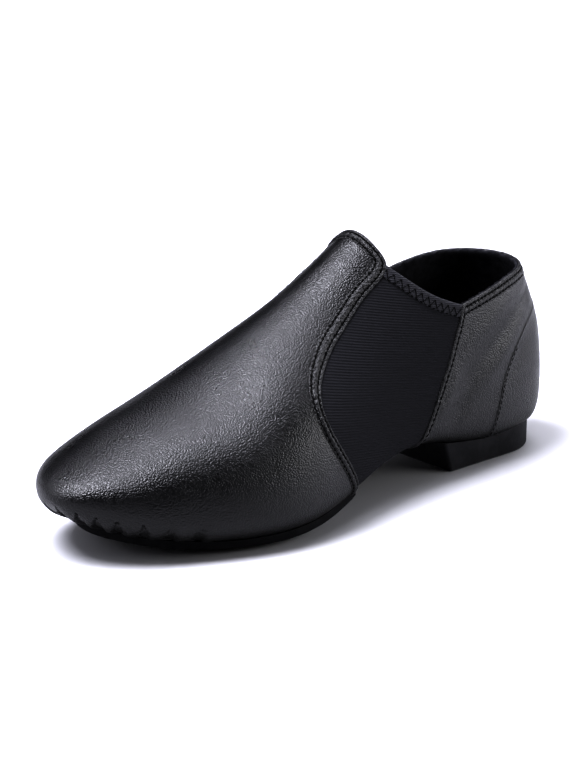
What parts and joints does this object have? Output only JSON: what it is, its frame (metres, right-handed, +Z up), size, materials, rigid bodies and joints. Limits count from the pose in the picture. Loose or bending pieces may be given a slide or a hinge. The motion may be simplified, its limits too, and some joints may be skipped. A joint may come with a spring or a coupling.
{
  "type": "jazz shoe",
  "caption": "Slip-on leather jazz dance shoe, left foot: deep vamp, elastic side gores with an edge band, heel counter, split sole pad and low rubber heel block.",
  "frame": {"origin": "centre of the shoe's bounding box, on the floor it stands on", "axes": "+Z up, -Y towards the toe, +X towards the outer side of the foot"},
  "size_m": [0.0905, 0.2505, 0.1043],
  "materials": {
    "upper": "semi-gloss black, fine pebble grain",
    "vamp_band": "semi-gloss black, folded and double stitched",
    "counter": "semi-gloss black",
    "gore_outer": "matte black ribbed elastic",
    "gore_inner": "matte black ribbed elastic",
    "sole_pad": "matte",
    "heel_block": "matte",
    "insole": "brushed fabric over thin foam"
  },
  "bodies": {
    "root": {"upper": "upper", "vamp_band": "vamp_band", "counter": "counter", "gore_outer": "gore_outer", "gore_inner": "gore_inner", "sole_pad": "sole_pad", "heel_block": "heel_block", "insole": "insole"}
  },
  "joints": []
}
